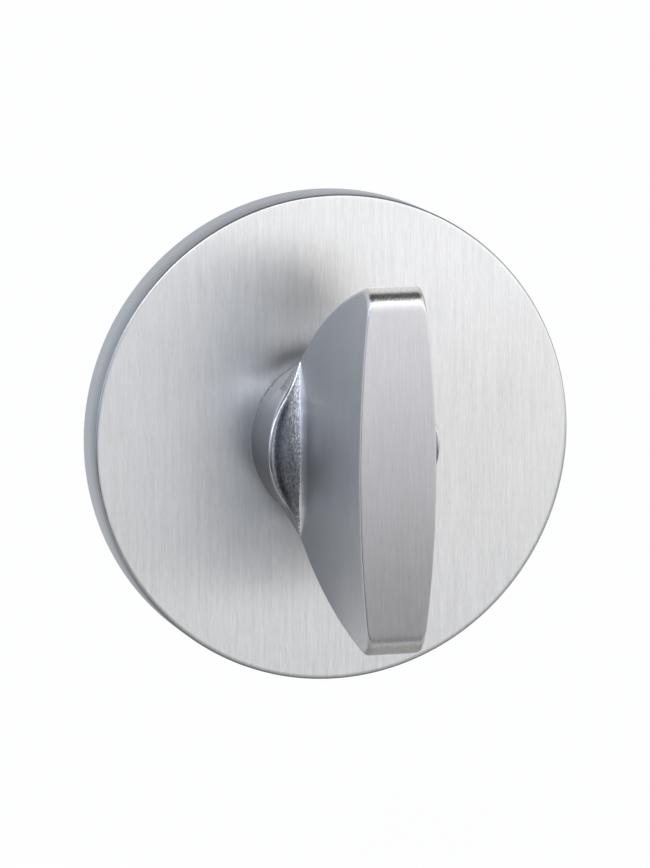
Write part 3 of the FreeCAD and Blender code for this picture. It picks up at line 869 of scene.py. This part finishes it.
def brushed_lines(tree, place, lines_per_mm, fine_share):
    """Fine lines: noise that is drawn out along one way, in two finenesses."""
    drawn = stretched(tree, place, lines_per_mm)
    coarse = noise(tree, drawn, 1.0, 3.0, Distortion=0.35)
    fine = noise(tree, stretched(tree, drawn, (3.1, 3.1, 3.1)), 1.0, 2.0)
    height = mixed(tree, fine_share, coarse, fine)
    return height, spread(tree, height, 0.3, 0.7)


def cast_skin(tree, place, grains_per_mm):
    """As-cast skin: small pits and grains of two sizes."""
    grain = noise(tree, place, grains_per_mm, 4.0, Roughness=0.65)
    pits = add_node(tree, "TexVoronoi", {"Vector": place, "Scale": grains_per_mm}).outputs["Distance"]
    return product(tree, grain, spread(tree, pits, 0.0, 0.7)), spread(tree, grain, 0.32, 0.68)


def handling_marks(tree, place, patches_per_mm):
    """Uneven sheen from cleaning and touch: wide soft patches, and long streaks."""
    wide = noise(tree, place, patches_per_mm, 3.0)
    streak = noise(tree, stretched(tree, place, (2.2, 2.2, 0.09)), 1.0, 4.0)
    return spread(tree, wide, 0.3, 0.7), spread(tree, streak, 0.3, 0.7)


TEXTURES = {
    "Brushed lines": (
        brushed_lines, {"Lines per mm": (4.0, 4.0, 0.2), "Fine share": 0.5}, ("Height", "Tone")),
    "Cast skin": (cast_skin, {"Grains per mm": 5.0}, ("Height", "Tone")),
    "Handling marks": (handling_marks, {"Patches per mm": 0.08}, ("Patches", "Streaks")),
}


def texture_group(name):
    """The shared node group of a texture, made the first time that it is asked for."""
    if name in bpy.data.node_groups:
        return bpy.data.node_groups[name]
    fill, settings, results = TEXTURES[name]
    group = bpy.data.node_groups.new(name, "ShaderNodeTree")
    group.interface.new_socket("Coordinates", in_out="INPUT", socket_type="NodeSocketVector")
    for label, default in settings.items():
        kind = "NodeSocketFloat" if isinstance(default, float) else "NodeSocketVector"
        group.interface.new_socket(label, in_out="INPUT", socket_type=kind).default_value = default
    for label in results:
        group.interface.new_socket(label, in_out="OUTPUT", socket_type="NodeSocketFloat")
    inside = group.nodes.new("NodeGroupInput").outputs
    out = group.nodes.new("NodeGroupOutput").inputs
    for number, value in enumerate(fill(group, *inside[:len(settings) + 1])):
        group.links.new(value, out[number])
    return group


def texture(tree, name, *values):
    """The results of a shared texture in a material, for its coordinates and its first settings."""
    return add_node(tree, "Group", dict(enumerate(values)), node_tree=texture_group(name)).outputs


def emptied(owner):
    """The node tree of a material or world, without its first nodes."""
    owner.use_nodes = True
    owner.node_tree.nodes.clear()
    return owner.node_tree


def new_material(name):
    """A new material, its node tree, and coordinates in mm."""
    material = bpy.data.materials.new(name)
    tree = emptied(material)
    return material, tree, stretched(tree, add_node(tree, "TexCoord").outputs["Object"], (1 / MM,) * 3)


def coated(tree, colour, roughness, height, depth, **constants):
    """Makes the material's surface of its colour, roughness and bump, with constants for other inputs."""
    bump = add_node(tree, "Bump", {"Height": height, "Strength": depth, "Distance": BUMP_DEPTH}).outputs[0]
    shader = add_node(tree, "BsdfPrincipled", {
        "Base Color": colour, "Roughness": roughness, "Normal": bump, **constants,
    })
    add_node(tree, "OutputMaterial", {"Surface": shader.outputs[0]})


def brush_way(tree):
    """The way of the brushing, along the UV map's V."""
    return add_node(tree, "Tangent", direction_type="UV_MAP", uv_map="Grain").outputs[0]


def mask(tree, name):
    """A mask that the piece's own mesh carries."""
    return add_node(tree, "Attribute", attribute_name=name).outputs["Fac"]


def satin_rose(finishes):
    """Satin metal, brushed upright on the face and round the skirt."""
    material, tree, where = new_material("Satin rose")
    skirt = mask(tree, "skirt")
    face = texture(tree, "Brushed lines", where, (6.2, 6.2, 0.34))
    around = texture(tree, "Brushed lines", where, (0.15, 7.0, 0.15))
    patches, streaks = texture(tree, "Handling marks", where)
    height, tone = (mixed(tree, skirt, *ends) for ends in zip(face, around))
    shade = spread(tree, mixed(tree, 0.3, tone, streaks), 0.2, 0.8, 0.865, 1.035)
    tint = mixed_colour(tree, skirt, finishes.rose_colour, finishes.skirt_colour)
    # The edge mask's 0.65 is painted shade on the rounded front edge.
    colour = scaled(tree, tint, product(tree, shade, mixed(tree, mask(tree, "edge"), 1.0, 0.65)))
    roughness = math_node(tree, "ADD", spread(tree, tone, 0.0, 1.0, 0.30, 0.38),
                          spread(tree, patches, 0.0, 1.0, -0.02, 0.03))
    coated(tree, colour, roughness, height, 0.8, Tangent=brush_way(tree), Metallic=1.0, Anisotropic=0.8)
    return material


def satin_turn(finishes):
    """Satin cast metal: brushed upright on the blade, turned round the boss, left as cast elsewhere."""
    material, tree, where = new_material("Satin turn")
    cast, turned, tip, side, crease, recess = (
        mask(tree, name) for name in ("cast", "turned", "tip", "side", "crease", "recess"))

    def by_area(brushed, as_cast, on_tip):
        return mixed(tree, tip, mixed(tree, cast, brushed, as_cast), on_tip)

    brushed = texture(tree, "Brushed lines", where, (4.2, 4.2, 0.22))
    around = texture(tree, "Brushed lines", where, (0.2, 6.0, 0.2))
    skin = texture(tree, "Cast skin", stretched(tree, where, (1.0, 1.0, 0.5)), 5.5)
    patches, _ = texture(tree, "Handling marks", where, 0.12)
    height, tone = (mixed(tree, cast, mixed(tree, turned, *lines), grain)
                    for *lines, grain in zip(brushed, around, skin))
    low, high = by_area(0.86, 0.36, 0.6), mixed(tree, tip, 1.0, 0.82)
    level = math_node(tree, "MULTIPLY_ADD", tone, math_node(tree, "SUBTRACT", high, low), low)
    # Levels by area: the recess mask's 0.26 is painted shade and the crease strip's 1.5 a painted
    # highlight; the turned boss wall's 0.44 and the blade sides' 0.81 are painted shade on the one satin
    # metal.
    for area, factor in ((turned, 0.44), (side, 0.81), (crease, 1.5), (cast, 1.6), (recess, 0.26)):
        level = product(tree, level, mixed(tree, area, 1.0, factor))
    # The boss wall and the blade sides take the cooler side colour: a painted reflection of the cool
    # surround.
    shaded_faces = math_node(tree, "MAXIMUM", side, turned)
    flat = mixed_colour(tree, shaded_faces, finishes.turn_colour, finishes.side_colour)
    colour = scaled(tree, mixed_colour(tree, tip, flat, finishes.tip_colour), level)
    roughness = by_area(0.33, 0.2, 0.27)
    for value in (patches, tone):
        roughness = math_node(tree, "ADD", roughness, spread(tree, value, 0.0, 1.0, -0.03, 0.03))
    coated(tree, colour, roughness, height, by_area(0.8, 1.0, 0.55), Tangent=brush_way(tree), Metallic=1.0,
           Anisotropic=0.6)
    return material


def plain_metal(name, colour, roughness, lines):
    """A plainer metal for the fixings, with draw lines, patches and a light bump."""
    material, tree, where = new_material(name)
    height, lines_tone = texture(tree, "Brushed lines", where, lines)
    patches, _ = texture(tree, "Handling marks", where, 0.2)
    tone = mixed(tree, 0.4, lines_tone, patches)
    coated(tree, scaled(tree, colour, spread(tree, tone, 0.0, 1.0, 0.82, 1.0)),
           spread(tree, tone, 0.0, 1.0, roughness - 0.06, roughness + 0.06), height, 0.3, Metallic=1.0)
    return material


def moulded(name, colour, roughness):
    """Moulded plastic with a fine spark-eroded skin."""
    material, tree, where = new_material(name)
    height, skin_tone = texture(tree, "Cast skin", where, 7.0)
    patches, _ = texture(tree, "Handling marks", where)
    tone = mixed(tree, 0.5, skin_tone, patches)
    coated(tree, scaled(tree, colour, spread(tree, tone, 0.0, 1.0, 0.88, 1.0)),
           spread(tree, tone, 0.0, 1.0, roughness - 0.05, roughness + 0.05), height, 0.3)
    return material


made_finishes = {}


def finish(name):
    """A finish by its slot's name, made the first time that it is asked for."""
    finishes = bpy.context.scene.turn_finishes
    makers = {
        "satin_rose": lambda: satin_rose(finishes),
        "satin_turn": lambda: satin_turn(finishes),
        "zinc_plate": lambda: plain_metal("Zinc plate", finishes.zinc_colour, 0.42, (1.2, 1.2, 1.2)),
        "nylon_grey": lambda: moulded("Grey nylon", finishes.nylon_colour, 0.5),
        "bush_white": lambda: moulded("White acetal", finishes.bush_colour, 0.45),
        "spring_steel": lambda: plain_metal("Spring steel", finishes.spring_colour, 0.38, (1.5, 1.5, 1.5)),
        "spindle_steel": lambda: plain_metal("Drawn bar", finishes.spindle_colour, 0.34, (5.0, 0.12, 5.0)),
        "screw_steel": lambda: plain_metal("Plated screw", finishes.screw_colour, 0.36, (2.0, 2.0, 2.0)),
    }
    if name not in made_finishes:
        made_finishes[name] = makers[name]()
    return made_finishes[name]


class THUMBTURN_OT_rose_cover(bpy.types.Operator):
    """Builds the rose's cover with its soft front edge and lever notch"""
    bl_idname = "thumbturn.rose_cover"
    bl_label = "Rose cover"

    def execute(self, context):
        put_piece("rose", rose_shell().mesh("rose"), "rose", "satin_rose", "rose_cover")
        return {"FINISHED"}


class THUMBTURN_OT_turn(bpy.types.Operator):
    """Builds the turn: boss, scooped shoulders, winged blade and shank"""
    bl_idname = "thumbturn.turn"
    bl_label = "Turn"

    def execute(self, context):
        data = turn_shell(context.scene.turn_sizes).mesh("turn")
        put_piece("winged_turn", data, "turn", "satin_turn", "thumb_turn")
        return {"FINISHED"}


class THUMBTURN_OT_spindle(bpy.types.Operator):
    """Builds the square spindle with its rounded corners"""
    bl_idname = "thumbturn.spindle"
    bl_label = "Spindle"

    def execute(self, context):
        put_piece("spindle_bar", spindle_shell().mesh("spindle_bar"), "turn", "spindle_steel", "spindle")
        return {"FINISHED"}


class THUMBTURN_OT_screws(bpy.types.Operator):
    """Builds the two door screws with their threads and cross recesses"""
    bl_idname = "thumbturn.screws"
    bl_label = "Door screws"

    def execute(self, context):
        sizes = context.scene.turn_sizes
        for name, z in (("door_screw_upper", 19.0), ("door_screw_lower", -19.0)):
            put_piece(name, screw_shell(z, sizes).mesh(name), "rose", "screw_steel", "door_screws")
        return {"FINISHED"}


class THUMBTURN_OT_rings(bpy.types.Operator):
    """Builds the bushes, the washers, the snap wire and the retaining ring"""
    bl_idname = "thumbturn.rings"
    bl_label = "Bushes, washers and snap wire"

    def execute(self, context):
        front = rounded([
            (7.05, -5.4), (8.5, -5.4), (8.5, -5.0), (7.9, -5.0), (7.9, -1.0), (7.05, -1.0)], 0.12)
        rear = rounded([
            (7.05, 3.5), (7.9, 3.5), (7.9, 7.0), (8.7, 7.0), (8.7, 7.5), (7.05, 7.5)], 0.12)
        thrust = rounded([(7.1, 7.55), (8.7, 7.55), (8.7, 7.95), (7.1, 7.95)], 0.1)
        rings = (
            ("front_bush_ring", turned_shell(front), "rose", "bush_white", "front_bush"),
            ("rear_bush_ring", turned_shell(rear), "rose", "bush_white", "rear_bush"),
            ("thrust_ring", turned_shell(thrust), "turn", "zinc_plate", "thrust_washer"),
            ("wave_ring", wave_shell(), "turn", "spring_steel", "wave_washer"),
            ("snap_wire", snap_ring_shell(), "rose", "spring_steel", "snap_ring"),
        )
        for name, shell, body, slot, node in rings:
            put_piece(name, shell.mesh(name), body, slot, node)
        data = stamped_mesh("circlip", retaining_ring_loops(), 9.86, 1.0, 0.08)
        put_piece("circlip", data, "turn", "spring_steel", "retaining_ring")
        return {"FINISHED"}


class THUMBTURN_OT_carried(bpy.types.Operator):
    """Gives the parts that keep their CAD shape their finishes"""
    bl_idname = "thumbturn.carried"
    bl_label = "Plate, carrier, cam and pin"

    def execute(self, context):
        slots = {
            "base_plate": "zinc_plate", "bearing_carrier": "nylon_grey", "stop_cam": "zinc_plate",
            "spindle_pin": "spring_steel",
        }
        for node, slot in slots.items():
            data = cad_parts[node].data
            data.materials.clear()
            data.materials.append(finish(slot))
        return {"FINISHED"}


def studio_world(level):
    """Soft studio by direction: white where the camera, a mirror or glass looks past the object, and in
    the room a bright overhead, a bright right front and a dimmer left front and floor."""
    world = bpy.data.worlds.new("Studio")
    tree = emptied(world)
    x, y, z = add_node(tree, "SeparateXYZ", {0: add_node(tree, "TexCoord").outputs["Generated"]}).outputs
    rise = add_node(tree, "FloatCurve", {1: math_node(tree, "MULTIPLY_ADD", z, 0.5, 0.5)})
    curve = rise.mapping.curves[0]
    curve.points[0].location = (0.0, 0.2)
    curve.points[-1].location = (1.0, 0.1)
    for place, value in (
        (0.30, 0.22), (0.357, 0.28), (0.395, 0.40), (0.413, 0.68), (0.44, 1.13), (0.55, 1.45), (0.62, 1.6),
        (0.74, 1.6), (0.83, 0.5), (0.93, 0.1),
    ):
        curve.points.new(place, value)
    rise.mapping.update()
    front = product(tree, spread(tree, x, -0.2, 0.12, 0.25, 1.15), spread(tree, x, 0.22, 0.4, 1.0, 1.3))
    far_left = product(tree, spread(tree, x, -0.7, -0.95, 0.0, 1.5), spread(tree, z, -0.3, -0.14))
    side = mixed(tree, spread(tree, z, 0.0, 0.4), math_node(tree, "ADD", front, far_left), 1.0)
    behind = spread(tree, y, -0.05, 0.25)
    room = product(tree, rise.outputs[0], side)
    studio = mixed(tree, behind, room, spread(tree, x, 0.7, 0.9, 0.85, 0.15))
    path = add_node(tree, "LightPath").outputs
    seen = math_node(tree, "MAXIMUM", path["Is Camera Ray"], path["Is Transmission Ray"])
    mirrored = product(tree, path["Is Glossy Ray"], behind, spread(tree, x, 0.7, 0.9, 1.0, 0.0))
    plain = math_node(tree, "MAXIMUM", seen, mirrored)
    strength = mixed(tree, plain, product(tree, studio, level), 1.0)
    tint = mixed_colour(tree, spread(tree, x, -0.3, 0.4), (0.83, 0.92, 1.07), (1.0, 0.995, 0.985))
    tint = mixed_colour(tree, plain, tint, (1, 1, 1))
    background = add_node(tree, "Background", {"Color": tint, "Strength": strength})
    add_node(tree, "OutputWorld", {0: background.outputs[0]})
    bpy.context.scene.world = world


def pale_floor():
    """A plain pale floor below and behind the object. It shows white and keeps the shadow. Metal mirrors it
    darker close under the object: a painted shadow that dims its glow there, where the object keeps the
    light off."""
    material = bpy.data.materials.new("Pale floor")
    tree = emptied(material)
    diffuse = add_node(tree, "BsdfDiffuse", {"Color": (0.9, 0.9, 0.9, 1)})
    path = add_node(tree, "LightPath").outputs
    in_plan = stretched(tree, add_node(tree, "TexCoord").outputs["Object"], (1.0, 1.0, 0.0))
    away = add_node(tree, "VectorMath", {0: in_plan}, operation="LENGTH").outputs["Value"]
    # Painted shadow: mirror rays see the glow dimmed to 0.4 close under the object.
    strength = mixed(tree, path["Is Glossy Ray"], 1.03, spread(tree, away, 0.05, 0.13, 0.4, 1.03))
    glow = add_node(tree, "Emission", {"Color": (1, 1, 1, 1), "Strength": strength})
    seen = math_node(tree, "MAXIMUM", path["Is Camera Ray"], path["Is Glossy Ray"])
    share = product(tree, math_node(tree, "MAXIMUM", seen, path["Is Transmission Ray"]), 0.9)
    both = add_node(tree, "MixShader", {0: share, 1: diffuse.outputs[0], 2: glow.outputs[0]})
    add_node(tree, "OutputMaterial", {0: both.outputs[0]})
    data = bpy.data.meshes.new("floor")
    corners = [(x, y, FLOOR_Z) for x, y in ((-1.5, -0.1), (1.5, -0.1), (1.5, 2.6), (-1.5, 2.6))]
    data.from_pydata(corners, [], [(0, 1, 2, 3)])
    data.materials.append(material)
    floor = bpy.data.objects.new("floor", data)
    bpy.context.scene.collection.objects.link(floor)


def soft_lamp(name, place, aim, size, power):
    """A square softbox that points at a place."""
    lamp = bpy.data.lights.new(name, "AREA")
    lamp.shape = "SQUARE"
    lamp.size = size
    lamp.energy = power
    stand = bpy.data.objects.new(name, lamp)
    stand.location = place
    stand.rotation_euler = (Vector(aim) - Vector(place)).to_track_quat("-Z", "Y").to_euler()
    stand.visible_camera = False
    bpy.context.scene.collection.objects.link(stand)


class THUMBTURN_OT_studio(bpy.types.Operator):
    """Builds the floor, the light and the camera"""
    bl_idname = "thumbturn.studio"
    bl_label = "Studio"

    def execute(self, context):
        studio = context.scene.turn_studio
        pale_floor()
        studio_world(studio.world_level)
        soft_lamp("key", (0.5, -0.9, 0.45), (0, 0, 0), 0.5, 0.5)
        soft_lamp("upper left", (-0.36, -0.9, 0.5), (0, 0, 0), 0.25, 2.5)
        camera = bpy.data.objects.new("camera", bpy.data.cameras.new("camera"))
        camera.data.lens = studio.lens
        camera.data.clip_start = 0.01
        context.scene.collection.objects.link(camera)
        side, up = studio.azimuth, studio.elevation
        towards = Vector((math.sin(side) * math.cos(up), -math.cos(side) * math.cos(up), math.sin(up)))
        turned = (-towards).to_track_quat("-Z", "Y")
        right = turned @ Vector((1, 0, 0))
        above = turned @ Vector((0, 1, 0))
        aim = Vector((0, ROSE_FACE * MM, 0)) - right * studio.aim_left * MM + above * studio.aim_up * MM
        camera.location = aim + towards * studio.distance
        camera.rotation_euler = turned.to_euler()
        context.scene.camera = camera
        context.scene.view_settings.view_transform = "Standard"
        return {"FINISHED"}


class THUMBTURN_PT_panel(bpy.types.Panel):
    """Lists the sizes, the finishes and the steps"""
    bl_idname = "THUMBTURN_PT_panel"
    bl_label = "Thumb turn"
    bl_space_type = "VIEW_3D"
    bl_region_type = "UI"
    bl_category = "Thumb turn"

    def draw(self, context):
        for settings in (context.scene.turn_sizes, context.scene.turn_finishes, context.scene.turn_studio):
            column = self.layout.column()
            for name in settings.bl_rna.properties.keys():
                if name not in ("rna_type", "name"):
                    column.prop(settings, name)
        for step in steps:
            self.layout.operator(step.bl_idname)


settings_groups = {"turn_sizes": TurnSizes, "turn_finishes": TurnFinishes, "turn_studio": StudioSettings}
steps = (
    THUMBTURN_OT_studio, THUMBTURN_OT_rose_cover, THUMBTURN_OT_turn, THUMBTURN_OT_spindle,
    THUMBTURN_OT_screws, THUMBTURN_OT_rings, THUMBTURN_OT_carried,
)


def register():
    """Registers the settings, the steps and the panel."""
    for name, group in settings_groups.items():
        bpy.utils.register_class(group)
        setattr(bpy.types.Scene, name, PointerProperty(type=group))
    for step in (*steps, THUMBTURN_PT_panel):
        bpy.utils.register_class(step)


def unregister():
    """Takes the settings, the steps and the panel out again."""
    for step in (THUMBTURN_PT_panel, *reversed(steps)):
        bpy.utils.unregister_class(step)
    for name, group in settings_groups.items():
        delattr(bpy.types.Scene, name)
        bpy.utils.unregister_class(group)


def main():
    """Runs every step in order."""
    register()
    bpy.ops.thumbturn.studio()
    bpy.ops.thumbturn.rose_cover()
    bpy.ops.thumbturn.turn()
    bpy.ops.thumbturn.spindle()
    bpy.ops.thumbturn.screws()
    bpy.ops.thumbturn.rings()
    bpy.ops.thumbturn.carried()


if __name__ == "__main__":
    main()
